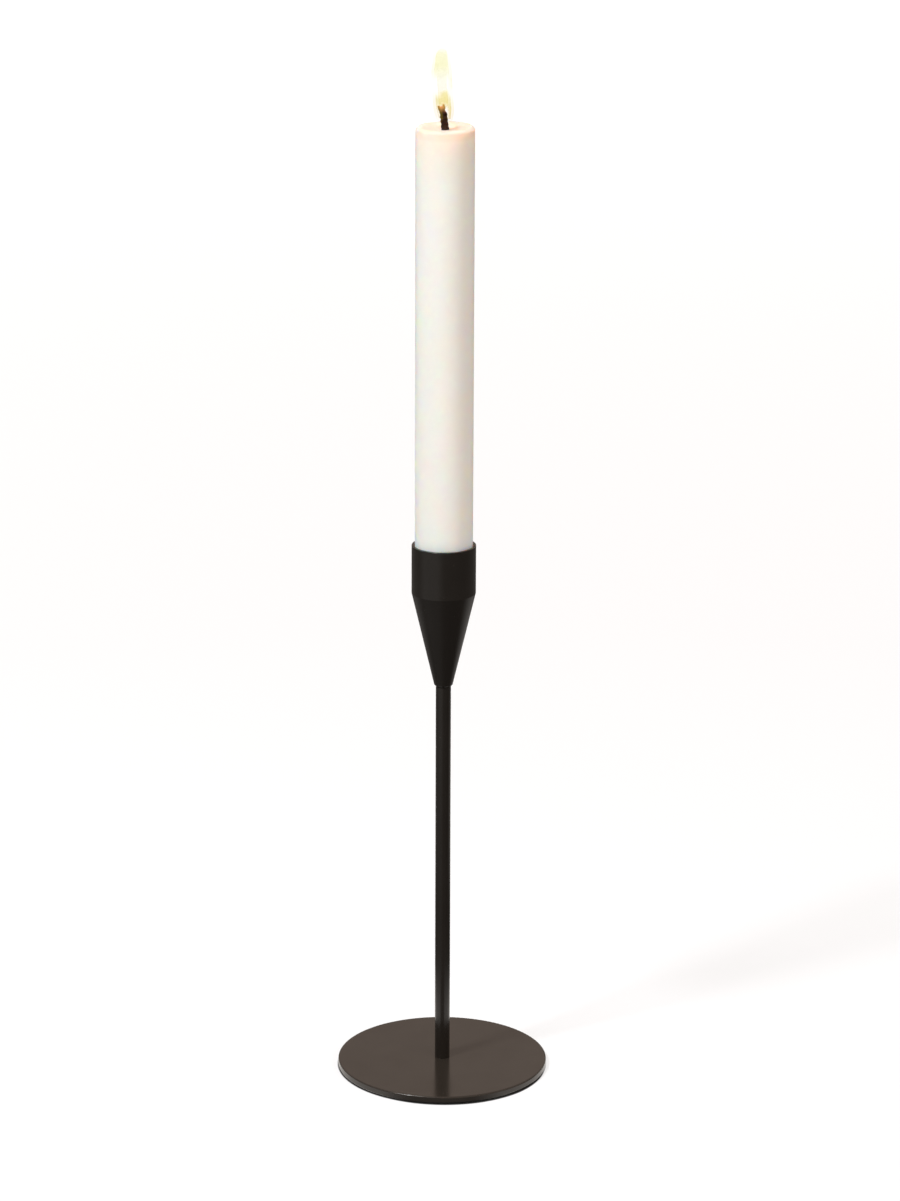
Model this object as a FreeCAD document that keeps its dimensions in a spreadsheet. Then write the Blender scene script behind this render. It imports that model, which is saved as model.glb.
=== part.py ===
"""Slim steel candlestick: disc base, thin stem and cone-shaped cup, holding one straight dinner candle.

The frame has +Z up and its origin at the centre of the face that rests on the table.
All sizes are in millimetres and live in the spreadsheet "Sizes".
"""
import FreeCAD, Part
import os

import Sketcher

# alias, value, what it measures
SIZES = [
    ("pad_diameter", 77.0, "foam ring under the base"),
    ("pad_hole_diameter", 16.0, "opening of the foam ring, round the screw head"),
    ("pad_thickness", 0.35, "foam ring"),
    ("base_diameter", 80.0, "steel disc"),
    ("base_thickness", 2.5, "steel disc"),
    ("base_edge_rounding", 0.5, "both rims of the disc"),
    ("stem_diameter", 5.7, "round bar"),
    ("stem_length", 149.6, "from the disc to the foot of the cup"),
    ("stem_edge_break", 0.15, "chamfer on both ends of the bar"),
    ("thread_diameter", 3.0, "M3, drawn as a plain cylinder"),
    ("thread_gap", 0.03, "radial gap of a thread in its tapped hole"),
    ("thread_edge_break", 0.3, "chamfer on the threaded ends"),
    ("tapped_depth", 10.0, "full depth of each tapped hole"),
    ("screw_hole_diameter", 3.4, "clearance hole through the disc"),
    ("screw_head_diameter", 6.0, "countersunk head"),
    ("screw_head_land", 0.2, "straight rim of the head"),
    ("screw_head_recess", 0.15, "how far the head sits inside the disc"),
    ("screw_reach", 7.5, "how far the screw goes into the stem"),
    ("screw_key_width", 2.0, "across flats of the screw's hexagon socket"),
    ("screw_key_depth", 1.1, "depth of the screw's hexagon socket"),
    ("stud_length", 16.0, "headless set screw between stem and cup"),
    ("stud_key_width", 1.5, "across flats of the set screw's hexagon socket"),
    ("stud_key_depth", 2.0, "depth of the set screw's hexagon socket"),
    ("cup_diameter", 24.0, "straight collar of the cup"),
    ("cup_foot_diameter", 7.0, "small end of the cone"),
    ("cup_foot_chamfer", 0.65, "from the cone down to the stem"),
    ("cone_length", 35.8, "cone of the cup"),
    ("collar_length", 18.4, "straight part above the cone"),
    ("rim_rounding", 0.2, "inner and outer edge of the rim"),
    ("socket_diameter", 22.0, "hole for the candle"),
    ("socket_depth", 17.5, "hole for the candle"),
    ("candle_diameter", 21.6, "household candle of the 22 mm kind"),
    ("candle_length", 174.1, "from the foot to the melted top"),
    ("candle_shoulder", 1.3, "melted round edge at the top"),
    ("candle_foot_chamfer", 0.8, "cast edge at the foot"),
    ("pool_diameter", 17.6, "dish melted round the wick"),
    ("pool_depth", 1.9, "dish melted round the wick"),
    ("wick_diameter", 2.4, "braided cotton"),
    ("wick_gap", 0.01, "between the wick and the wax"),
    ("wick_free_height", 9.5, "from the bottom of the dish to the tip"),
    ("wick_lean", 1.2, "sideways reach of the bent tip"),
]

# heights above the table
PLATE_FOOT = "pad_thickness"
STEM_FOOT = f"{PLATE_FOOT} + base_thickness"
CUP_FOOT = f"{STEM_FOOT} + stem_length"
CANDLE_FOOT = f"{CUP_FOOT} + cup_foot_chamfer + cone_length + collar_length - socket_depth"

document = FreeCAD.newDocument("candlestick")
sheet = document.addObject("Spreadsheet::Sheet", "Sizes")
for row, (alias, value, meaning) in enumerate(SIZES, start=1):
    sheet.set(f"A{row}", meaning)
    sheet.set(f"B{row}", str(value))
    sheet.setAlias(f"B{row}", alias)
document.recompute()


# ---- helpers: each size is a text of aliases, such as "base_diameter / 2" -----------------------


def in_sheet(text):
    """The text with every alias written as a cell of the sheet."""
    aliases = {alias for alias, _, _ in SIZES}
    words = text.replace("(", "( ").replace(")", " )").split()
    return " ".join(f"Sizes.{word}" if word in aliases else word for word in words)


def bind(thing, property_name, text):
    """Binds a property to cells of the sheet."""
    thing.setExpression(property_name, in_sheet(text))


def value_of(text):
    """The present value of the text, as a number."""
    return float(sheet.evalExpression(in_sheet(text)))


def new_body(name, foot="0"):
    """An empty body whose own zero plane stands at the height foot."""
    body = document.addObject("PartDesign::Body", name)
    body.Label = name
    bind(body, "Placement.Base.z", foot)
    return body


def attach(feature, body, plane_role, height="0"):
    """Puts a sketch or a primitive on one of the body's origin planes, or height above it."""
    plane = next(item for item in body.Origin.OriginFeatures if item.Role == plane_role)
    feature.AttachmentSupport = (plane, [""])
    feature.MapMode = "FlatFace"
    bind(feature, "AttachmentOffset.Base.z", height)


def new_sketch(body, name, plane_role, height="0"):
    """An empty sketch of the body."""
    sketch = body.newObject("Sketcher::SketchObject", f"{body.Label}_{name}")
    attach(sketch, body, plane_role, height)
    return sketch


def add_circle(sketch, diameter):
    """A circle round the sketch's origin."""
    circle = Part.Circle(FreeCAD.Vector(), FreeCAD.Vector(0, 0, 1), value_of(diameter) / 2)
    index = sketch.addGeometry(circle)
    sketch.addConstraint(Sketcher.Constraint("Coincident", index, 3, -1, 1))
    size = sketch.addConstraint(Sketcher.Constraint("Diameter", index, value_of(diameter)))
    bind(sketch, f"Constraints[{size}]", diameter)


def hold_point(sketch, index, end, across, up):
    """Holds one end of a line or arc at its distances from the sketch's two axes."""
    for text, kind, axis in ((across, "DistanceX", -2), (up, "DistanceY", -1)):
        if text == "0":
            sketch.addConstraint(Sketcher.Constraint("PointOnObject", index, end, axis))
        else:
            distance = Sketcher.Constraint(kind, -1, 1, index, end, value_of(text))
            bind(sketch, f"Constraints[{sketch.addConstraint(distance)}]", text)


def revolve(body, corners):
    """Turns a closed outline about the body's Z axis. Each corner is a radius and a height."""
    sketch = new_sketch(body, "outline", "XZ_Plane")
    points = [FreeCAD.Vector(value_of(radius), value_of(height)) for radius, height in corners]
    for start, end in zip(points, points[1:] + points[:1]):
        sketch.addGeometry(Part.LineSegment(start, end))
    for index, (radius, height) in enumerate(corners):
        line_before = (index - 1) % len(corners)
        sketch.addConstraint(Sketcher.Constraint("Coincident", line_before, 2, index, 1))
        hold_point(sketch, index, 1, radius, height)
    turned = body.newObject("PartDesign::Revolution", f"{body.Label}_turned")
    turned.Profile = sketch
    turned.ReferenceAxis = (sketch, ["V_Axis"])
    turned.Angle = 360
    return turned


def extrude(body, diameters, length):
    """A round bar, or a ring if there are two diameters, from the body's zero plane up."""
    sketch = new_sketch(body, "section", "XY_Plane")
    for diameter in diameters:
        add_circle(sketch, diameter)
    bar = body.newObject("PartDesign::Pad", f"{body.Label}_bar")
    bar.Profile = sketch
    bind(bar, "Length", length)
    return bar


def bore(body, name, diameter, height, depth, flat=False, upwards=False):
    """A blind hole from the face at this height, down into the body or up into it."""
    sketch = new_sketch(body, f"{name}_circle", "XY_Plane", height)
    add_circle(sketch, diameter)
    document.recompute()
    hole = body.newObject("PartDesign::Hole", f"{body.Label}_{name}")
    hole.Profile = sketch
    hole.Reversed = upwards
    hole.DepthType = "Dimension"
    hole.DrillPoint = "Flat" if flat else "Angled"
    bind(hole, "Diameter", diameter)
    bind(hole, "Depth", depth)
    return hole


def hexagon_socket(body, width, height, depth):
    """A hexagonal pocket of this width across flats, from this height up."""
    prism = body.newObject("PartDesign::SubtractivePrism", f"{body.Label}_key")
    attach(prism, body, "XY_Plane", height)
    prism.Polygon = 6
    bind(prism, "Circumradius", f"{width} / 2 / cos( 30 )")
    bind(prism, "Height", depth)


def ring_edges(feature, rings):
    """The names of the feature's round edges that have one of these diameters and heights."""
    document.recompute()
    wanted = [(value_of(diameter) / 2, value_of(height)) for diameter, height in rings]
    names = []
    for number, edge in enumerate(feature.Shape.Edges, start=1):
        if not isinstance(edge.Curve, Part.Circle):
            continue
        radius = edge.Curve.Radius
        height = edge.Curve.Center.z
        if any(abs(radius - r) < 1e-6 and abs(height - z) < 1e-6 for r, z in wanted):
            names.append(f"Edge{number}")
    if len(names) != len(rings):
        raise RuntimeError(f"{feature.Label}: found {len(names)} edges instead of {len(rings)}")
    return names


def chamfer(body, feature, rings, size):
    """A 45 degree chamfer on round edges."""
    broken = body.newObject("PartDesign::Chamfer", f"{body.Label}_chamfer")
    broken.Base = (feature, ring_edges(feature, rings))
    bind(broken, "Size", size)
    return broken


def fillet(body, feature, rings, radius):
    """A rounding on round edges."""
    rounded = body.newObject("PartDesign::Fillet", f"{body.Label}_fillet")
    rounded.Base = (feature, ring_edges(feature, rings))
    bind(rounded, "Radius", radius)
    return rounded


# ---- the pieces, from the table up -------------------------------------------------------------


def make_base_pad():
    """Foam ring under the steel disc, a little smaller than the disc."""
    body = new_body("base_pad")
    extrude(body, ["pad_diameter", "pad_hole_diameter"], "pad_thickness")
    return body


def make_base_plate():
    """Steel disc with rounded rims and a countersunk hole in its underside."""
    body = new_body("base_plate", PLATE_FOOT)
    disc = extrude(body, ["base_diameter"], "base_thickness")
    rims = [("base_diameter", "0"), ("base_diameter", "base_thickness")]
    fillet(body, disc, rims, "base_edge_rounding")

    sketch = new_sketch(body, "screw_circle", "XY_Plane")
    add_circle(sketch, "screw_hole_diameter")
    document.recompute()
    hole = body.newObject("PartDesign::Hole", "base_plate_screw_hole")
    hole.Profile = sketch
    hole.Reversed = True
    hole.DepthType = "ThroughAll"
    hole.HoleCutType = "Countersink"
    hole.HoleCutCustomValues = True
    hole.HoleCutCountersinkAngle = 90
    bind(hole, "Diameter", "screw_hole_diameter")
    bind(hole, "HoleCutDiameter", "screw_head_diameter + 2 * ( screw_head_recess + screw_head_land )")
    return body


def make_base_screw():
    """Countersunk socket screw, from below through the disc into the stem."""
    body = new_body("base_screw", PLATE_FOOT)
    head = "screw_head_diameter / 2"
    shank = "thread_diameter / 2"
    land_top = "screw_head_recess + screw_head_land"
    tip = "base_thickness + screw_reach"
    corners = [
        ("0", "screw_head_recess"),
        (head, "screw_head_recess"),
        (head, land_top),
        (shank, f"{land_top} + {head} - {shank}"),
        (shank, f"{tip} - thread_edge_break"),
        (f"{shank} - thread_edge_break", tip),
        ("0", tip),
    ]
    revolve(body, corners)
    hexagon_socket(body, "screw_key_width", "screw_head_recess", "screw_key_depth")
    return body


def make_stem():
    """Round bar, tapped at both ends."""
    body = new_body("stem", STEM_FOOT)
    bar = extrude(body, ["stem_diameter"], "stem_length")
    ends = [("stem_diameter", "0"), ("stem_diameter", "stem_length")]
    chamfer(body, bar, ends, "stem_edge_break")
    tapped = "thread_diameter + 2 * thread_gap"
    bore(body, "lower_thread", tapped, "0", "tapped_depth", upwards=True)
    bore(body, "upper_thread", tapped, "stem_length", "tapped_depth")
    return body


def make_stem_stud():
    """Headless set screw, half in the stem and half in the cup."""
    body = new_body("stem_stud", f"{CUP_FOOT} - stud_length / 2")
    bar = extrude(body, ["thread_diameter"], "stud_length")
    ends = [("thread_diameter", "0"), ("thread_diameter", "stud_length")]
    chamfer(body, bar, ends, "thread_edge_break")
    hexagon_socket(body, "stud_key_width", "stud_length - stud_key_depth", "stud_key_depth")
    return body


def make_candle_cup():
    """Turned cup: a straight collar on a long cone, with a blind socket for the candle."""
    body = new_body("candle_cup", CUP_FOOT)
    foot = "cup_foot_diameter / 2"
    collar = "cup_diameter / 2"
    shoulder = "cup_foot_chamfer + cone_length"
    rim = f"{shoulder} + collar_length"
    corners = [
        ("0", "0"),
        (f"{foot} - cup_foot_chamfer", "0"),
        (foot, "cup_foot_chamfer"),
        (collar, shoulder),
        (collar, rim),
        ("0", rim),
    ]
    revolve(body, corners)
    socket = bore(body, "socket", "socket_diameter", rim, "socket_depth", flat=True)
    fillet(body, socket, [("cup_diameter", rim), ("socket_diameter", rim)], "rim_rounding")
    tapped = "thread_diameter + 2 * thread_gap"
    bore(body, "thread", tapped, "0", "tapped_depth", upwards=True)
    return body


def make_candle():
    """Straight wax candle with a melted shoulder, a shallow dish and a channel for the wick."""
    body = new_body("candle", CANDLE_FOOT)
    rod = extrude(body, ["candle_diameter"], "candle_length")
    melted = fillet(body, rod, [("candle_diameter", "candle_length")], "candle_shoulder")
    chamfer(body, melted, [("candle_diameter", "0")], "candle_foot_chamfer")

    pool = body.newObject("PartDesign::SubtractiveSphere", "candle_pool")
    sphere_radius = "( ( pool_diameter / 2 ) ^ 2 + pool_depth ^ 2 ) / ( 2 * pool_depth )"
    attach(pool, body, "XY_Plane", f"candle_length - pool_depth + {sphere_radius}")
    bind(pool, "Radius", sphere_radius)

    sketch = new_sketch(body, "wick_circle", "XY_Plane")
    add_circle(sketch, "wick_diameter + 2 * wick_gap")
    channel = body.newObject("PartDesign::Pocket", "candle_wick_channel")
    channel.Profile = sketch
    channel.Type = "ThroughAll"
    channel.Reversed = True
    return body


def make_wick():
    """Round cord along the whole candle; above the wax it bends towards -X."""
    body = new_body("wick", CANDLE_FOOT)
    section = new_sketch(body, "section", "XY_Plane")
    add_circle(section, "wick_diameter")

    path = new_sketch(body, "path", "XZ_Plane")
    bend_start = "candle_length - pool_depth"
    tip = f"{bend_start} + wick_free_height"
    bend_radius = "( wick_lean ^ 2 + wick_free_height ^ 2 ) / ( 2 * wick_lean )"
    start = FreeCAD.Vector(0, value_of(bend_start))
    end = FreeCAD.Vector(-value_of("wick_lean"), value_of(tip))
    centre = FreeCAD.Vector(-value_of(bend_radius), value_of(bend_start))
    middle = centre + (start + end - centre * 2).normalize() * value_of(bend_radius)
    path.addGeometry(Part.LineSegment(FreeCAD.Vector(), start))
    path.addGeometry(Part.Arc(start, middle, end))
    path.addConstraint(Sketcher.Constraint("Coincident", 0, 1, -1, 1))
    hold_point(path, 0, 2, "0", bend_start)
    path.addConstraint(Sketcher.Constraint("Tangent", 0, 2, 1, 1))
    hold_point(path, 1, 2, "-1 * wick_lean", tip)

    cord = body.newObject("PartDesign::AdditivePipe", "wick_cord")
    cord.Profile = section
    cord.Spine = (path, [""])
    return body


MAKERS = [
    make_base_pad,
    make_base_plate,
    make_base_screw,
    make_stem,
    make_stem_stud,
    make_candle_cup,
    make_candle,
    make_wick,
]
bodies = [make() for make in MAKERS]
document.recompute()

for thing in document.Objects:
    if {"Invalid", "Error"} & set(thing.State):
        raise RuntimeError(f"{thing.Label} did not recompute: {thing.State}")
for body in bodies:
    if body.Shape.isNull() or not body.Shape.isValid() or len(body.Shape.Solids) != 1:
        raise RuntimeError(f"{body.Label} is not one valid solid")

os.makedirs("parts", exist_ok=True)
for body in bodies:
    body.Shape.exportStep(f"parts/{body.Label}.step")
    box = body.Shape.BoundBox
    print(f"{body.Label}: {body.Shape.Volume:.2f} mm3, z {box.ZMin:.3f} to {box.ZMax:.3f}")
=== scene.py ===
"""Looks of a slim black candlestick with a burning dinner candle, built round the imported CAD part."""
import math

import bpy
import numpy as np
from mathutils import Euler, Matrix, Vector, noise


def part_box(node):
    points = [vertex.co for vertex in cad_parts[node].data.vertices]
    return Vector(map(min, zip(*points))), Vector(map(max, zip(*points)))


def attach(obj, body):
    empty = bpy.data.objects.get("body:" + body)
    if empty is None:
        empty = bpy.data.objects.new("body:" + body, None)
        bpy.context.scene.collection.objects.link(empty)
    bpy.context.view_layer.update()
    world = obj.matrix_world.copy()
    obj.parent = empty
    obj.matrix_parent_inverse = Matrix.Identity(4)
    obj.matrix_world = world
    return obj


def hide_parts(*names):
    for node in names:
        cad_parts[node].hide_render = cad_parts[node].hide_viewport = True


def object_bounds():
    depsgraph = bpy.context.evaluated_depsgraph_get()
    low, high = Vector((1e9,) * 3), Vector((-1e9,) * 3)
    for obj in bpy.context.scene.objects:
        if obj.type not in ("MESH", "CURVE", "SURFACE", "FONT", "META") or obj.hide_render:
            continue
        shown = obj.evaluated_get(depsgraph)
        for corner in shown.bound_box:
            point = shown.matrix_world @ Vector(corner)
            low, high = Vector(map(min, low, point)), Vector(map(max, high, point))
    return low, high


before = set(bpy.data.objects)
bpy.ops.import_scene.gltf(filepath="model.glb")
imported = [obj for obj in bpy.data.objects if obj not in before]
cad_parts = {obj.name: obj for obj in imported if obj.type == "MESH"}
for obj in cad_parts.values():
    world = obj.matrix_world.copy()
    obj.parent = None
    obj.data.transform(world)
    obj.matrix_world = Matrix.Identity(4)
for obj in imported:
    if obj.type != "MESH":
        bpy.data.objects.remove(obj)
cad_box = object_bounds()

MM = 0.001
candle_low, candle_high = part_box("candle")
wick_low, wick_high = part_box("wick")
cup_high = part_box("candle_cup")[1]
stem_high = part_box("stem")[1]
plate_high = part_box("base_plate")[1]

CANDLE_RADIUS = (candle_high.x - candle_low.x) / 2
WICK_RADIUS = (wick_high.y - wick_low.y) / 2
WICK_LEAN = -wick_low.x - WICK_RADIUS


# ---- mesh helpers -----------------------------------------------------------------------------


def smoothstep(low, high, value):
    """0 below low, 1 above high and a soft step between them."""
    share = np.clip((value - low) / (high - low), 0, 1)
    return share * share * (3 - 2 * share)


def piece_from(name, vertices, faces, material, body):
    """A smooth mesh object that rides on a CAD body."""
    mesh = bpy.data.meshes.new(name)
    mesh.from_pydata([tuple(v) for v in vertices], [], faces)
    mesh.validate()
    mesh.shade_smooth()
    mesh.materials.append(material)
    piece = bpy.data.objects.new(name, mesh)
    bpy.context.scene.collection.objects.link(piece)
    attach(piece, body)
    return piece


def ring_faces(rings, around, closed_loop):
    """Quads between rings of vertices, each ring with the same number of vertices around."""
    faces = []
    for ring in range(rings if closed_loop else rings - 1):
        here = ring * around
        there = (ring + 1) % rings * around
        for step in range(around):
            after = (step + 1) % around
            faces.append((here + step, here + after, there + after, there + step))
    return faces


def tube_along(points, radii, around):
    """Vertices and faces of a closed tube that follows points, with a radius at each."""
    points = [Vector(p) for p in points]
    vertices = []
    for index, point in enumerate(points):
        ahead = points[min(index + 1, len(points) - 1)]
        behind = points[max(index - 1, 0)]
        along = (ahead - behind).normalized()
        across = along.cross(Vector((0, 1, 0))).normalized()
        up = along.cross(across)
        for step in range(around):
            angle = 2 * math.pi * step / around
            offset = across * math.cos(angle) + up * math.sin(angle)
            vertices.append(point + offset * radii[index])
    faces = ring_faces(len(points), around, closed_loop=False)
    faces.append(tuple(reversed(range(around))))
    last = (len(points) - 1) * around
    faces.append(tuple(last + step for step in range(around)))
    return vertices, faces


# ---- material helpers -------------------------------------------------------------------------


class Paint:
    """A node material under construction."""

    def __init__(self, name):
        self.material = bpy.data.materials.new(name)
        self.material.use_nodes = True
        self.tree = self.material.node_tree
        self.shader = self.tree.nodes["Principled BSDF"]
        self.place = self.tree.nodes.new("ShaderNodeTexCoord").outputs["Object"]

    def link(self, source, target):
        self.tree.links.new(source, target)

    def set(self, **values):
        """Sets constant inputs of the Principled shader; an underscore stands for a space."""
        for name, value in values.items():
            self.shader.inputs[name.replace("_", " ")].default_value = value

    def drive(self, name, source):
        self.link(source, self.shader.inputs[name])

    def stretched(self, scale):
        """The object's own coordinates, stretched."""
        node = self.tree.nodes.new("ShaderNodeMapping")
        node.inputs["Scale"].default_value = scale
        self.link(self.place, node.inputs["Vector"])
        return node.outputs["Vector"]

    def noise(self, scale, detail=2.0, roughness=0.5, place=None):
        node = self.tree.nodes.new("ShaderNodeTexNoise")
        node.inputs["Scale"].default_value = scale
        node.inputs["Detail"].default_value = detail
        node.inputs["Roughness"].default_value = roughness
        self.link(place or self.place, node.inputs["Vector"])
        return node.outputs["Fac"]

    def cells(self, scale):
        node = self.tree.nodes.new("ShaderNodeTexVoronoi")
        node.inputs["Scale"].default_value = scale
        self.link(self.place, node.inputs["Vector"])
        return node.outputs["Distance"]

    def height(self):
        """The height above the table, in metres."""
        node = self.tree.nodes.new("ShaderNodeSeparateXYZ")
        self.link(self.place, node.inputs["Vector"])
        return node.outputs["Z"]

    def polar(self):
        """Distance from the object's axis, and how far a point lies to the right and to the front."""
        flat = self.stretched((1, 1, 0))
        length = self.tree.nodes.new("ShaderNodeVectorMath")
        length.operation = "LENGTH"
        self.link(flat, length.inputs[0])
        split = self.tree.nodes.new("ShaderNodeSeparateXYZ")
        self.link(flat, split.inputs["Vector"])
        radius = length.outputs["Value"]
        right = self.math("DIVIDE", split.outputs["X"], radius)
        front = self.math("MULTIPLY", self.math("DIVIDE", split.outputs["Y"], radius), -1.0)
        return radius, right, front

    def spread(self, value, low, high, to_low=0.0, to_high=1.0):
        """Maps low..high to to_low..to_high, held at both ends."""
        node = self.tree.nodes.new("ShaderNodeMapRange")
        node.inputs["From Min"].default_value = low
        node.inputs["From Max"].default_value = high
        node.inputs["To Min"].default_value = to_low
        node.inputs["To Max"].default_value = to_high
        self.link(value, node.inputs["Value"])
        return node.outputs["Result"]

    def math(self, operation, first, second):
        node = self.tree.nodes.new("ShaderNodeMath")
        node.operation = operation
        for socket, value in zip(node.inputs, (first, second)):
            if isinstance(value, (int, float)):
                socket.default_value = value
            else:
                self.link(value, socket)
        return node.outputs["Value"]

    def ramp(self, value, stops, smooth=False):
        """A colour for each value from 0 to 1; each stop is a position and a colour."""
        node = self.tree.nodes.new("ShaderNodeValToRGB")
        elements = node.color_ramp.elements
        node.color_ramp.interpolation = "B_SPLINE" if smooth else "LINEAR"
        while len(elements) < len(stops):
            elements.new(1.0)
        for element, (position, colour) in zip(elements, stops):
            element.position = position
            element.color = (*colour, 1.0)
        self.link(value, node.inputs["Fac"])
        return node.outputs["Color"]

    def mix(self, share, first, second):
        """The first colour at a share of 0, the second at 1."""
        node = self.tree.nodes.new("ShaderNodeMix")
        node.data_type = "RGBA"
        for socket, value in zip((node.inputs[0], node.inputs[6], node.inputs[7]), (share, first, second)):
            if isinstance(value, (int, float)):
                socket.default_value = value
            elif isinstance(value, tuple):
                socket.default_value = (*value, 1.0)
            else:
                self.link(value, socket)
        return node.outputs[2]

    def bump(self, height, depth, under=None):
        """Bumps of this depth in metres, on top of other bumps if given."""
        node = self.tree.nodes.new("ShaderNodeBump")
        node.inputs["Distance"].default_value = depth
        node.inputs["Strength"].default_value = 1.0
        self.link(height, node.inputs["Height"])
        if under is not None:
            self.link(under, node.inputs["Normal"])
        return node.outputs["Normal"]


# ---- materials --------------------------------------------------------------------------------


def make_lacquer(name, worn_radius, worn_height, painted_lightness=1.0):
    """Warm black satin lacquer with a fine skin, dust and an edge that handling has rubbed.

    A lightness factor above 1 paints a paler copy of the same lacquer, standing in for the light that
    falls on a level face.
    """
    paint = Paint(name)
    cloud = paint.noise(45, detail=3)
    deep, light = (
        tuple(part * painted_lightness for part in colour)
        for colour in ((0.0112, 0.0090, 0.0072), (0.0142, 0.0117, 0.0096))
    )
    coat = paint.ramp(cloud, [(0.3, deep), (0.7, light)])
    chips = paint.noise(650, detail=4, roughness=0.7)
    on_edge = paint.math(
        "MULTIPLY",
        paint.spread(paint.polar()[0], worn_radius - 0.35 * MM, worn_radius - 0.05 * MM),
        paint.spread(paint.height(), worn_height - 0.4 * MM, worn_height - 0.1 * MM),
    )
    worn = paint.math("MULTIPLY", on_edge, paint.spread(chips, 0.55, 0.75, 0.0, 0.7))
    dust = paint.math("MULTIPLY", paint.spread(paint.cells(330), 0.035, 0.02), 0.35)
    coat = paint.mix(dust, coat, (0.22, 0.19, 0.16))
    paint.drive("Base Color", paint.mix(worn, coat, (0.16, 0.12, 0.09)))
    smear = paint.noise(130, detail=4, roughness=0.6)
    satin = paint.spread(smear, 0.3, 0.7, 0.14, 0.20)
    paint.drive("Roughness", paint.math("ADD", satin, paint.math("MULTIPLY", on_edge, 0.18)))
    skin = paint.bump(paint.noise(1400, detail=2), 1.6e-6)
    grain = paint.bump(paint.noise(7000, detail=1), 4e-7, under=skin)
    paint.drive("Normal", grain)
    paint.set(IOR=1.5)
    return paint.material


def make_foam():
    """Dark closed-cell foam."""
    paint = Paint("foam")
    cells = paint.cells(2600)
    dark, pale = (0.012, 0.012, 0.012), (0.034, 0.033, 0.031)
    paint.drive("Base Color", paint.ramp(cells, [(0.0, dark), (0.8, pale)]))
    paint.drive("Roughness", paint.spread(paint.noise(400), 0.3, 0.7, 0.82, 0.95))
    paint.drive("Normal", paint.bump(cells, 6e-5))
    return paint.material


def make_fastener_steel():
    """Zinc-plated steel with turning marks."""
    paint = Paint("fastener_steel")
    marks = paint.noise(60, detail=3, place=paint.stretched((1, 1, 90)))
    paint.drive("Base Color", paint.ramp(paint.noise(900, detail=3), [
        (0.3, (0.42, 0.42, 0.43)), (0.7, (0.56, 0.56, 0.56))
    ]))
    paint.drive("Roughness", paint.spread(paint.noise(500, detail=3), 0.3, 0.7, 0.24, 0.42))
    paint.drive("Normal", paint.bump(marks, 1.2e-5))
    paint.set(Metallic=1.0)
    return paint.material


def make_wax():
    """Ivory candle wax: deep and milky, with a painted warm glow of the flame towards the top, painted
    glow and shade on the crest and a darker, warmer dish of molten wax.
    """
    paint = Paint("wax")
    top = candle_high.z
    height = paint.height()
    # painted warm glow of the flame: the wax is painted warmer over its top 26 mm, most near the top
    painted_flame_glow = paint.spread(height, top - 26 * MM, top - 1 * MM)
    cloud = paint.noise(110, detail=3, roughness=0.55)
    milk = paint.ramp(cloud, [(0.3, (0.950, 0.945, 0.885)), (0.7, (0.965, 0.960, 0.905))])
    warm = paint.ramp(cloud, [(0.3, (0.975, 0.80, 0.74)), (0.7, (0.985, 0.83, 0.78))])
    colour = paint.mix(paint.math("POWER", painted_flame_glow, 2.0), milk, warm)
    # the molten wax in the dish is darker and warmer: partly its own look, partly a painted shade and warm
    # glow of the flame
    in_dish = paint.math(
        "MULTIPLY",
        paint.spread(paint.polar()[0], 10.75 * MM, 10.1 * MM),
        paint.spread(height, top - 2.6 * MM, top - 1.7 * MM),
    )
    # painted glow and shade on the crest: over the top few millimetres the wax is painted pinker and
    # darker; the same mask also makes the crest rougher
    crest = paint.spread(height, top - 4.6 * MM, top - 1.5 * MM)
    painted_crest_glow_and_shade = paint.ramp(cloud, [(0.3, (0.79, 0.64, 0.57)), (0.7, (0.82, 0.68, 0.61))])
    molten_with_painted_shade_and_glow = paint.ramp(paint.noise(420, detail=2), [(0.3, (0.62, 0.50, 0.42)), (0.7, (0.67, 0.55, 0.47))])
    colour = paint.mix(in_dish, paint.mix(crest, colour, painted_crest_glow_and_shade), molten_with_painted_shade_and_glow)
    speck = paint.math("MULTIPLY", paint.spread(paint.cells(38), 0.0105, 0.008), 0.75)
    paint.drive("Base Color", paint.mix(speck, colour, (0.30, 0.22, 0.16)))
    dry = paint.spread(paint.noise(240, detail=4, roughness=0.6), 0.3, 0.7, 0.40, 0.52)
    paint.drive("Roughness", paint.math("ADD", dry, paint.math("MULTIPLY", crest, 0.16)))
    drawn = paint.bump(paint.noise(260, detail=2, place=paint.stretched((1, 1, 0.06))), 1.6e-5)
    frost = paint.bump(paint.noise(1900, detail=3), 4e-6, under=drawn)
    paint.drive("Normal", frost)
    paint.set(
        Subsurface_Weight=1.0,
        Subsurface_Radius=(1.0, 0.7, 0.5),
        Subsurface_Scale=10.0 * MM,
        Subsurface_Anisotropy=0.3,
        Specular_IOR_Level=0.3,
        IOR=1.43,
    )
    return paint.material


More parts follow.
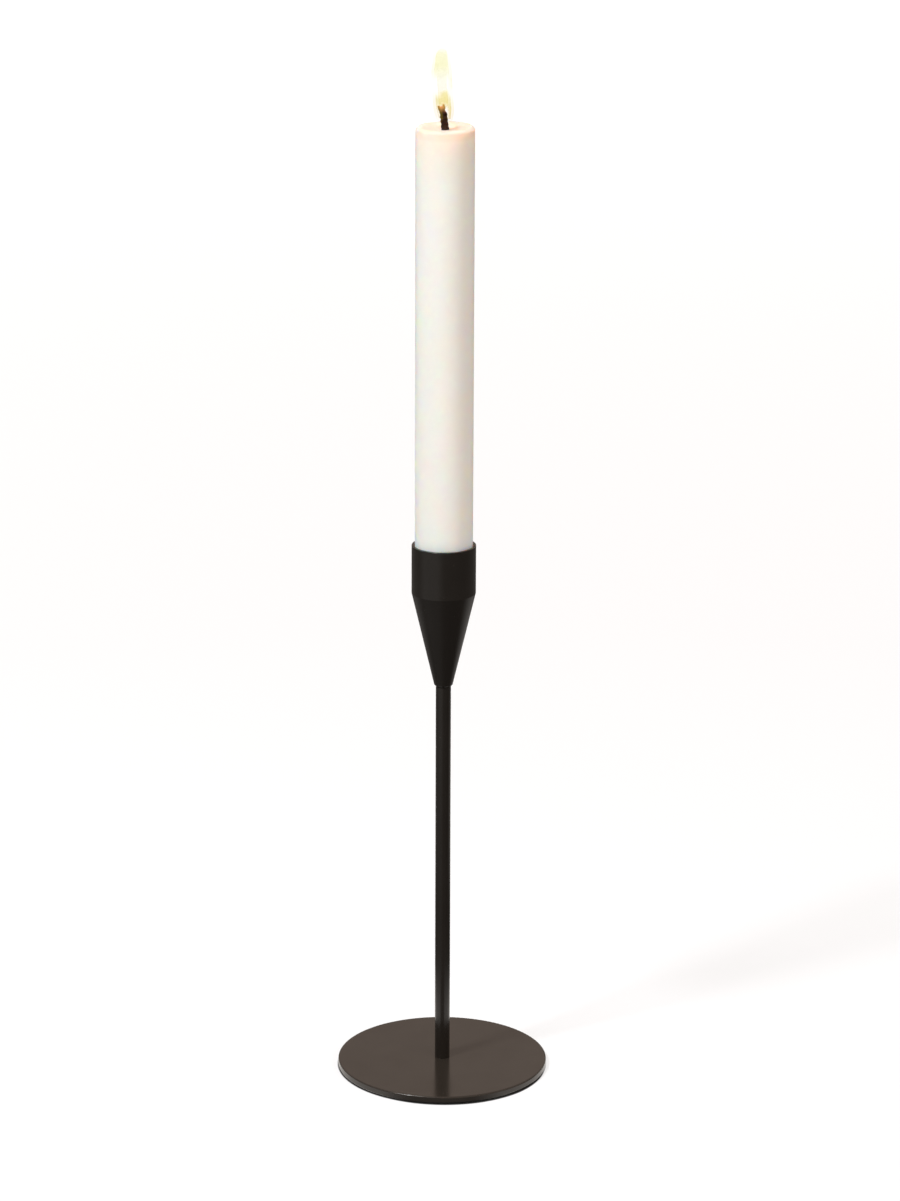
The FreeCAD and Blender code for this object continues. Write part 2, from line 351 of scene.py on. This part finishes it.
def make_wick_cotton():
    """Cotton inside the wax, charred above it, glowing at the very tip."""
    paint = Paint("wick_cotton")
    height = paint.height()
    fibres = paint.noise(1500, detail=4, roughness=0.7, place=paint.stretched((1, 1, 0.35)))
    cotton = paint.ramp(fibres, [(0.3, (0.62, 0.56, 0.46)), (0.7, (0.82, 0.77, 0.66))])
    char = paint.ramp(fibres, [
        (0.34, (0.014, 0.006, 0.004)), (0.56, (0.026, 0.012, 0.007)), (0.76, (0.080, 0.044, 0.022))
    ])
    burnt = paint.spread(height, WAX_SURFACE - 0.9 * MM, WAX_SURFACE - 0.1 * MM)
    glow = paint.spread(height, WICK_TIP - 3.4 * MM, WICK_TIP - 1.2 * MM)
    ember = paint.ramp(fibres, [(0.35, (0.08, 0.030, 0.022)), (0.7, (0.34, 0.12, 0.085))])
    red_hot = paint.mix(glow, paint.mix(burnt, cotton, char), ember)
    paint.drive("Base Color", red_hot)
    paint.drive("Roughness", paint.spread(height, WAX_SURFACE, WAX_SURFACE + 2 * MM, 0.28, 0.92))
    heat = paint.ramp(fibres, [(0.35, (0.55, 0.11, 0.07)), (0.7, (1.0, 0.34, 0.24))])
    paint.drive("Emission Color", heat)
    paint.drive("Emission Strength", paint.math("MULTIPLY", glow, 0.09))
    paint.drive("Normal", paint.bump(fibres, 1.2e-4))
    paint.set(Specular_IOR_Level=0.12)
    return paint.material


def make_flame(name, colours, bands):
    """Thin glowing gas, coloured from the flame's foot at 0 to its tip at 1 and as dense as its bands."""
    paint = Paint(name)
    tree = paint.tree
    tree.nodes.remove(paint.shader)
    _, right, _ = paint.polar()
    share = paint.spread(paint.height(), FLAME_FOOT, FLAME_TIP)
    drift = paint.math("MULTIPLY", paint.math("SUBTRACT", paint.noise(260, detail=1), 0.5), 0.07)
    bent = paint.math("ADD", share, drift)
    on_left = paint.spread(right, -0.25, -0.75)
    on_right = paint.spread(right, 0.25, 0.75)
    sides = tree.nodes.new("ShaderNodeCombineXYZ")
    paint.link(on_left, sides.inputs["X"])
    paint.link(paint.math("SUBTRACT", 1.0, paint.math("ADD", on_left, on_right)), sides.inputs["Y"])
    paint.link(on_right, sides.inputs["Z"])
    density = tree.nodes.new("ShaderNodeVectorMath")
    density.operation = "DOT_PRODUCT"
    paint.link(paint.ramp(bent, add_up(bands)), density.inputs[0])
    paint.link(sides.outputs["Vector"], density.inputs[1])
    light = tree.nodes.new("ShaderNodeEmission")
    paint.link(paint.ramp(bent, colours, smooth=True), light.inputs["Color"])
    clear = tree.nodes.new("ShaderNodeBsdfTransparent")
    blend = tree.nodes.new("ShaderNodeMixShader")
    paint.link(density.outputs["Value"], blend.inputs["Fac"])
    paint.link(clear.outputs["BSDF"], blend.inputs[1])
    paint.link(light.outputs["Emission"], blend.inputs[2])
    paint.link(blend.outputs["Shader"], tree.nodes["Material Output"].inputs["Surface"])
    return paint.material


# ---- candle -----------------------------------------------------------------------------------

POOL_DEPTH = 1.7 * MM
POOL_EDGE = 4.2 * MM
CREST_RADIUS = 9.6 * MM
WAX_SURFACE = candle_high.z - POOL_DEPTH
WICK_TIP = wick_high.z


def candle_outline():
    """Closed outline of the wax, as radius and height, from the foot of the wick's channel."""
    foot = candle_low.z
    top = candle_high.z
    channel = WICK_RADIUS + 0.02 * MM
    chamfer = 0.8 * MM
    shoulder = CANDLE_RADIUS - CREST_RADIUS
    outline = [(channel, foot)]
    outline += [(channel + (CANDLE_RADIUS - chamfer - channel) * k / 4, foot) for k in range(1, 5)]
    outline.append((CANDLE_RADIUS - 0.25 * chamfer, foot + 0.55 * chamfer))
    outline.append((CANDLE_RADIUS, foot + 1.1 * chamfer))
    side_top = top - 1.25 * shoulder
    outline += [(CANDLE_RADIUS, z) for z in np.linspace(foot + 2 * chamfer, side_top, 60)]
    for k in range(1, 13):
        angle = math.pi / 2 * k / 12
        radius = CREST_RADIUS + shoulder * math.cos(angle)
        outline.append((radius, side_top + (top - side_top) * math.sin(angle)))
    for k in range(1, 13):
        share = k / 12
        radius = CREST_RADIUS + (POOL_EDGE - CREST_RADIUS) * share
        outline.append((radius, top - POOL_DEPTH * float(smoothstep(-0.05, 1.0, share))))
    outline += [(radius * MM, WAX_SURFACE) for radius in (3.7, 3.2, 2.8, 2.4)]
    for radius, climb in ((2.1, 0.0), (1.8, 0.03), (1.55, 0.08), (1.38, 0.16)):
        outline.append((radius * MM, WAX_SURFACE + climb * MM))
    outline.append((channel, WAX_SURFACE + 0.2 * MM))
    outline += [(channel, z) for z in np.linspace(WAX_SURFACE - 1 * MM, foot + 2 * MM, 12)]
    return outline


def melt(radius, height, angle):
    """Where the soft top has sagged: lower towards the viewer and on the left."""
    soft = float(smoothstep(candle_high.z - 6 * MM, candle_high.z, height))
    rim = float(smoothstep(4.4 * MM, 8.5 * MM, radius))
    front = 0.5 - 0.5 * math.sin(angle)
    left = 0.5 - 0.5 * math.cos(angle)
    sag = 0.52 * front**2 + 0.30 * left**3 + 0.06 * math.sin(3 * angle + 0.7) + 0.04 * math.sin(7 * angle)
    height -= soft * rim * sag * MM
    pulled_in = soft * rim * (0.10 * left**2 + 0.03 * math.sin(5 * angle + 1.1)) * MM
    on_side = float(smoothstep(9 * MM, 10.6 * MM, radius))
    hand_made = 0.012 * MM * math.sin(2 * angle + 90 * height) * on_side
    return radius - max(pulled_in, 0) - abs(hand_made), height


def make_candle():
    """The wax body, turned from its outline and sagging at the top."""
    around = 144
    outline = candle_outline()
    vertices = []
    for radius, height in outline:
        for step in range(around):
            angle = 2 * math.pi * step / around
            r, z = melt(radius, height, angle)
            vertices.append((r * math.cos(angle), r * math.sin(angle), z))
    faces = ring_faces(len(outline), around, closed_loop=True)
    candle = piece_from("candle_wax", vertices, faces, make_wax(), "candle")
    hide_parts("candle")


# ---- wick -------------------------------------------------------------------------------------


def wick_centre(height):
    """The middle of the cord at a height: straight in the wax, then bending to the left."""
    rise = max(height - WAX_SURFACE, 0)
    reach = WICK_TIP - WAX_SURFACE
    return Vector((-WICK_LEAN * (0.8 * rise / reach + 0.2 * (rise / reach) ** 2), 0, height))


def wick_strand(number, end_height, end_offset):
    """One of three plaited strands, as points and radii. Above the wax it strays to end_offset."""
    strand_radius = 0.78 * MM
    plait_length = 5.2 * MM
    step_length = 0.22 * MM
    steps = int((end_height - wick_low.z) / step_length)
    points, radii = [], []
    for step in range(steps + 1):
        height = wick_low.z + (end_height - wick_low.z) * step / steps
        turn = 2 * math.pi * ((height - wick_low.z) / plait_length + number / 3)
        stray = float(smoothstep(end_height - 3.2 * MM, end_height, height))
        place = wick_centre(height)
        foot = float(smoothstep(WAX_SURFACE + 2.2 * MM, WAX_SURFACE, height))
        place.x += (1 - stray) * (0.64 + 0.16 * foot) * MM * math.sin(turn) + stray * end_offset[0] * MM
        place.y += (1 - stray) * 0.30 * MM * math.sin(2 * turn) + stray * end_offset[1] * MM
        taper = 1 - 0.55 * float(smoothstep(end_height - 2.0 * MM, end_height, height))
        points.append(place)
        radii.append(strand_radius * taper)
    return points, radii


def make_wick():
    """Plaited cord, fused into one closed skin, with a crusty charred end that splits in two."""
    ends = [
        (WICK_TIP - 0.75 * MM, (-1.40, -0.1)),
        (WICK_TIP - 0.10 * MM, (0.42, 0.0)),
        (WICK_TIP - 1.0 * MM, (-0.50, 0.2)),
    ]
    vertices, faces = [], []
    for number, (end_height, end_offset) in enumerate(ends):
        points, radii = wick_strand(number, end_height, end_offset)
        strand_vertices, strand_faces = tube_along(points, radii, around=12)
        first = len(vertices)
        vertices += strand_vertices
        faces += [tuple(first + corner for corner in face) for face in strand_faces]
    wick = piece_from("wick_braid", vertices, faces, make_wick_cotton(), "candle")
    fuse(wick, voxel=0.17 * MM)
    roughen(wick, first_height=WAX_SURFACE)
    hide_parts("wick")


def fuse(piece, voxel):
    """Joins overlapping closed shells into one skin."""
    remesh = piece.modifiers.new("fuse", "REMESH")
    remesh.mode = "VOXEL"
    remesh.voxel_size = voxel
    remesh.use_smooth_shade = True
    bpy.context.view_layer.update()
    evaluated = piece.evaluated_get(bpy.context.evaluated_depsgraph_get())
    fused = bpy.data.meshes.new_from_object(evaluated)
    piece.modifiers.clear()
    fused.name = piece.name
    piece.data = fused


def roughen(piece, first_height):
    """Crusts of soot above a height."""
    mesh = piece.data
    shifts = []
    for vertex in mesh.vertices:
        at = vertex.co
        grown = float(smoothstep(first_height, first_height + 1.5 * MM, at.z))
        crust = noise.noise(at * 1900) * 0.09 + noise.noise(at * 3400) * 0.06
        shifts.append(vertex.normal * crust * grown * MM)
    for vertex, shift in zip(mesh.vertices, shifts):
        vertex.co += shift


# ---- flame ------------------------------------------------------------------------------------

FLAME_FOOT = WICK_TIP - 6.0 * MM
FLAME_TIP = WICK_TIP + 20.6 * MM
FLAME_RADIUS = 3.75 * MM
# share of the flame's height and the gas's colour there
FLAME_COLOURS = [
    (0.0, (0.70, 0.45, 0.05)),
    (0.2, (0.80, 0.66, 0.05)),
    (0.5, (0.80, 0.76, 0.03)),
    (1.0, (0.80, 0.82, 0.0)),
]
CORE_COLOURS = [
    (0.0, (1.1, 0.65, 0.1)),
    (0.35, (1.1, 0.75, 0.1)),
    (0.42, (1.0, 1.0, 0.95)),
    (1.0, (1.0, 1.0, 0.8)),
]

# Bands of gas. Each starts, is full, begins to fade and ends at a share of the flame's height, and
# has a density at the left, in the middle and at the right.
VEIL_BANDS = {
    "glow beside the wick": ((-0.05, 0.05, 0.15, 0.30), (0.08, 0.0, 0.12)),
    "yellow cap": ((0.13, 0.25, 0.30, 0.42), (0.08, 0.10, 0.07)),
    "line on the right": ((0.38, 0.45, 0.55, 0.65), (0.0, 0.0, 0.10)),
    "tip": ((0.50, 0.65, 0.75, 1.0), (0.09, 0.08, 0.07)),
}
BODY_BANDS = {
    "glow beside the wick": ((-0.05, 0.05, 0.15, 0.25), (0.12, 0.0, 0.30)),
    "sides of the cap": ((0.13, 0.25, 0.28, 0.36), (0.22, 0.0, 0.20)),
    "middle of the cap": ((0.13, 0.25, 0.36, 0.43), (0.02, 0.26, 0.02)),
    "tip": ((0.55, 0.75, 0.90, 1.0), (0.16, 0.16, 0.11)),
}
CORE_BANDS = {
    "yellow cap": ((0.15, 0.22, 0.36, 0.42), (0.15, 0.15, 0.15)),
    "white heart": ((0.36, 0.45, 0.60, 0.72), (0.55, 0.55, 0.55)),
}


def flame_radius(share):
    """Half the flame's width at a share of its height: nearly even, then a taper and a round tip."""
    foot = 0.83 + 0.17 * float(smoothstep(0.0, 0.15, share))
    taper = 1 - 0.18 * float(smoothstep(0.65, 0.85, share))
    tip = math.sqrt(max(1 - (max(share - 0.85, 0) / 0.15) ** 2, 0.01))
    return FLAME_RADIUS * foot * taper * tip


def flame_sway(share):
    """How far the flame leans to the left at a share of its height."""
    lean = 0.2 + 1.2 * math.sin(math.pi / 2 * min(share / 0.8, 1))
    return (0.35 * float(smoothstep(0.88, 1.0, share)) - lean) * MM


def add_up(bands):
    """The bands' sum as stops of a colour ramp: share of the height, then left, middle and right."""
    inside = {share for corners, _ in bands.values() for share in corners if 0 < share < 1}
    stops = []
    for share in [0.0, *sorted(inside), 1.0]:
        total = np.zeros(3)
        for corners, densities in bands.values():
            total += np.interp(share, corners, (0, 1, 1, 0)) * np.array(densities)
        stops.append((share, tuple(float(part) for part in total)))
    return stops


def make_flame_piece(name, scale, material, around=40, rings=44):
    """One closed skin of the flame, shrunk to scale about the flame's own axis."""
    vertices = []
    for ring in range(rings):
        share = (1 - math.cos(math.pi * ring / (rings - 1))) / 2
        height = FLAME_FOOT + (FLAME_TIP - FLAME_FOOT) * (0.55 + (share - 0.55) * scale**0.15)
        radius = flame_radius(share) * scale
        sway = flame_sway(share)
        for step in range(around):
            angle = 2 * math.pi * step / around
            vertices.append((sway + radius * math.cos(angle), 0.85 * radius * math.sin(angle), height))
    faces = ring_faces(rings, around, closed_loop=False)
    faces.append(tuple(reversed(range(around))))
    faces.append(tuple((rings - 1) * around + step for step in range(around)))
    return piece_from(name, vertices, faces, material, "candle")


def make_flames():
    """A faint veil, a yellow body and a white core, and a small warm lamp that moves with them."""
    veil = make_flame_piece("flame_veil", 1.0, make_flame("flame_veil", FLAME_COLOURS, VEIL_BANDS))
    body = make_flame_piece("flame_body", 0.72, make_flame("flame_body", FLAME_COLOURS, BODY_BANDS))
    core = make_flame_piece("flame_core", 0.46, make_flame("flame_core", CORE_COLOURS, CORE_BANDS))
    lamp_data = bpy.data.lights.new("flame_light", "POINT")
    lamp_data.energy = 0.0054
    lamp_data.color = (1.0, 0.60, 0.45)
    lamp_data.shadow_soft_size = 2.5 * MM
    lamp = bpy.data.objects.new("flame_light", lamp_data)
    bpy.context.scene.collection.objects.link(lamp)
    lamp.parent = core
    lamp.location = (-WICK_LEAN, 0, WICK_TIP + 4.5 * MM)
    for piece in (veil, body, core):
        piece.visible_shadow = False


# ---- CAD nodes that stay in view --------------------------------------------------------------


def dress_cad_nodes():
    """Gives every CAD node that stays in view its material."""
    looks = {
        # the plate gets a painted paler copy of the lacquer, standing in for the light that falls on it
        "base_plate": make_lacquer("lacquer_plate", plate_high.x, plate_high.z, painted_lightness=1.5),
        "stem": make_lacquer("lacquer_stem", stem_high.x, stem_high.z),
        "candle_cup": make_lacquer("lacquer_cup", cup_high.x, cup_high.z),
        "base_pad": make_foam(),
        "base_screw": make_fastener_steel(),
    }
    looks["stem_stud"] = looks["base_screw"]
    for node, material in looks.items():
        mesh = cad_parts[node].data
        mesh.materials.clear()
        mesh.materials.append(material)


# ---- studio -----------------------------------------------------------------------------------


def stage_sheet(name, outline, around=96):
    """A round sheet of the studio, which is not part of the object, from its rim's radii and heights."""
    vertices = []
    for radius, height in outline:
        for step in range(around):
            angle = 2 * math.pi * step / around
            vertices.append((radius * math.cos(angle), radius * math.sin(angle), height))
    mesh = bpy.data.meshes.new(name)
    faces = [tuple(range(around))] + ring_faces(len(outline), around, closed_loop=False)
    mesh.from_pydata(vertices, [], faces)
    sheet = bpy.data.objects.new(name, mesh)
    bpy.context.scene.collection.objects.link(sheet)
    return sheet


def make_floor():
    """Pale floor with a white wall far away, and the lit table top that the object sees."""
    ground = cad_box[0][2] - 0.02 * MM
    floor = stage_sheet("floor", [(12.0, ground), (13.0, ground + 0.3), (13.4, ground + 14.0)])
    floor.data.materials.append(make_floor_white())
    floor.visible_diffuse = False
    floor.visible_glossy = False
    floor.visible_shadow = False

    table = stage_sheet("table_glow", [(1.2, cad_box[0][2] - 0.2 * MM)])
    table.data.materials.append(make_table_glow())
    table.visible_camera = False


def make_floor_white():
    """White ground that shines like an overexposed backdrop, with a painted contact shadow under the plate
    that reaches a little past its front and right edge.
    """
    paint = Paint("floor_white")
    radius, right, front = paint.polar()
    # painted contact shadow: no glow and a dark colour under the plate and in a thin band past its front
    # and right edge
    in_front = paint.spread(front, 0.2, 0.7, -0.3 * MM, 0.65 * MM)
    shaded = paint.math("MULTIPLY", in_front, paint.spread(right, -0.5, 0.3))
    in_light = paint.spread(paint.math("SUBTRACT", radius, shaded), plate_high.x, plate_high.x + 0.5 * MM)
    beyond = paint.math("MULTIPLY", in_light, 0.74)
    far_away = paint.spread(radius, 0.6, 4.0, 0.0, 0.30)
    paint.drive("Base Color", paint.ramp(in_light, [(0.0, (0.02, 0.02, 0.02)), (1.0, (0.21, 0.21, 0.22))]))
    paint.set(Roughness=0.7, Emission_Color=(1, 1, 1, 1))
    paint.drive("Emission Strength", paint.math("ADD", beyond, far_away))
    return paint.material


def make_table_glow():
    """Table top as the object sees it: bright close to the foot, dim in front and farther away."""
    paint = Paint("table_glow")
    radius, right, front = paint.polar()
    near = paint.spread(radius, 110 * MM, 50 * MM)
    beside = paint.spread(front, 0.95, 0.80)
    close_level = paint.math("ADD", paint.math("MULTIPLY", beside, 0.85), 0.12)
    not_far = paint.spread(radius, 500 * MM, 380 * MM)
    behind = paint.math("MULTIPLY", paint.spread(front, 0.1, -0.4), not_far)
    ring = paint.math("MULTIPLY", behind, paint.spread(radius, 170 * MM, 260 * MM))
    patch = paint.math("MULTIPLY", ring, paint.spread(right, -0.2, 0.4, 0.12, 0.30))
    left_front = paint.math("MULTIPLY", paint.spread(right, 0.0, -0.35), paint.spread(front, -0.1, 0.3))
    lit_left = paint.math("MULTIPLY", left_front, paint.spread(radius, 180 * MM, 500 * MM, 0.06, 0.22))
    dim = paint.spread(radius, 300 * MM, 500 * MM, 0.0, 0.04)
    far_level = paint.math("ADD", patch, paint.math("ADD", lit_left, dim))
    level = paint.math(
        "ADD",
        paint.math("MULTIPLY", near, close_level),
        paint.math("MULTIPLY", paint.math("SUBTRACT", 1.0, near), far_level),
    )
    paint.set(Base_Color=(0.05, 0.05, 0.05, 1.0), Roughness=0.8, Emission_Color=(1.0, 0.95, 0.90, 1))
    paint.drive("Emission Strength", level)
    return paint.material


def make_world():
    """Dim warm room, brighter above than at the horizon."""
    world = bpy.data.worlds.new("studio")
    bpy.context.scene.world = world
    world.use_nodes = True
    tree = world.node_tree
    place = tree.nodes.new("ShaderNodeTexCoord").outputs["Generated"]
    split = tree.nodes.new("ShaderNodeSeparateXYZ")
    ramp = tree.nodes.new("ShaderNodeValToRGB")
    stops = [(0.0, 0.04), (0.15, 0.20), (0.36, 0.52), (1.0, 0.52)]
    while len(ramp.color_ramp.elements) < len(stops):
        ramp.color_ramp.elements.new(1.0)
    for element, (position, level) in zip(ramp.color_ramp.elements, stops):
        element.position = position
        element.color = (level, level * 0.80, level * 0.68, 1.0)
    tree.links.new(place, split.inputs["Vector"])
    tree.links.new(split.outputs["Z"], ramp.inputs["Fac"])
    tree.links.new(ramp.outputs["Color"], tree.nodes["Background"].inputs["Color"])


def softbox(name, azimuth, elevation, distance, size, power, colour):
    """A square soft light that faces the middle of the object; azimuth 0 is the viewer's side."""
    data = bpy.data.lights.new(name, "AREA")
    data.shape = "SQUARE"
    data.size = size
    data.energy = power
    data.color = colour
    light = bpy.data.objects.new(name, data)
    bpy.context.scene.collection.objects.link(light)
    target = Vector((0, 0, (cad_box[0][2] + cad_box[1][2]) / 2))
    turn, rise = math.radians(azimuth), math.radians(elevation)
    direction = Vector((math.sin(turn) * math.cos(rise), -math.cos(turn) * math.cos(rise), math.sin(rise)))
    light.location = target + direction * distance
    light.rotation_euler = direction.to_track_quat("Z", "Y").to_euler()
    return light


def make_lights():
    """Key light high at the left and a wide weaker fill at the right, which no reflection shows."""
    cool, warm = (0.97, 1.0, 1.0), (1.0, 0.95, 0.90)
    softbox("key", azimuth=-50, elevation=52, distance=2.5, size=0.38, power=63.0, colour=cool)
    fill = softbox("fill", azimuth=50, elevation=25, distance=3.0, size=1.6, power=42.0, colour=warm)
    fill.visible_glossy = False


def make_camera():
    """Long lens, looking down on the base and almost level at the flame."""
    lens_in_frame_widths = 4.41
    data = bpy.data.cameras.new("camera")
    data.sensor_fit = "HORIZONTAL"
    data.sensor_width = 36.0
    data.lens = data.sensor_width * lens_in_frame_widths
    data.clip_end = 100.0
    camera = bpy.data.objects.new("camera", data)
    bpy.context.scene.collection.objects.link(camera)
    camera.location = (0, -1.421, cad_box[0][2] + 0.598)
    pitch, turn, roll = math.radians(90 - 16.18), math.radians(-0.095), math.radians(0.216)
    turns = [Euler(angles).to_matrix() for angles in ((0, 0, turn), (pitch, 0, 0), (0, 0, roll))]
    camera.rotation_euler = (turns[0] @ turns[1] @ turns[2]).to_euler()
    bpy.context.scene.camera = camera


dress_cad_nodes()
make_candle()
make_wick()
make_flames()
make_floor()
make_world()
make_lights()
make_camera()
bpy.context.scene.view_settings.view_transform = "Standard"
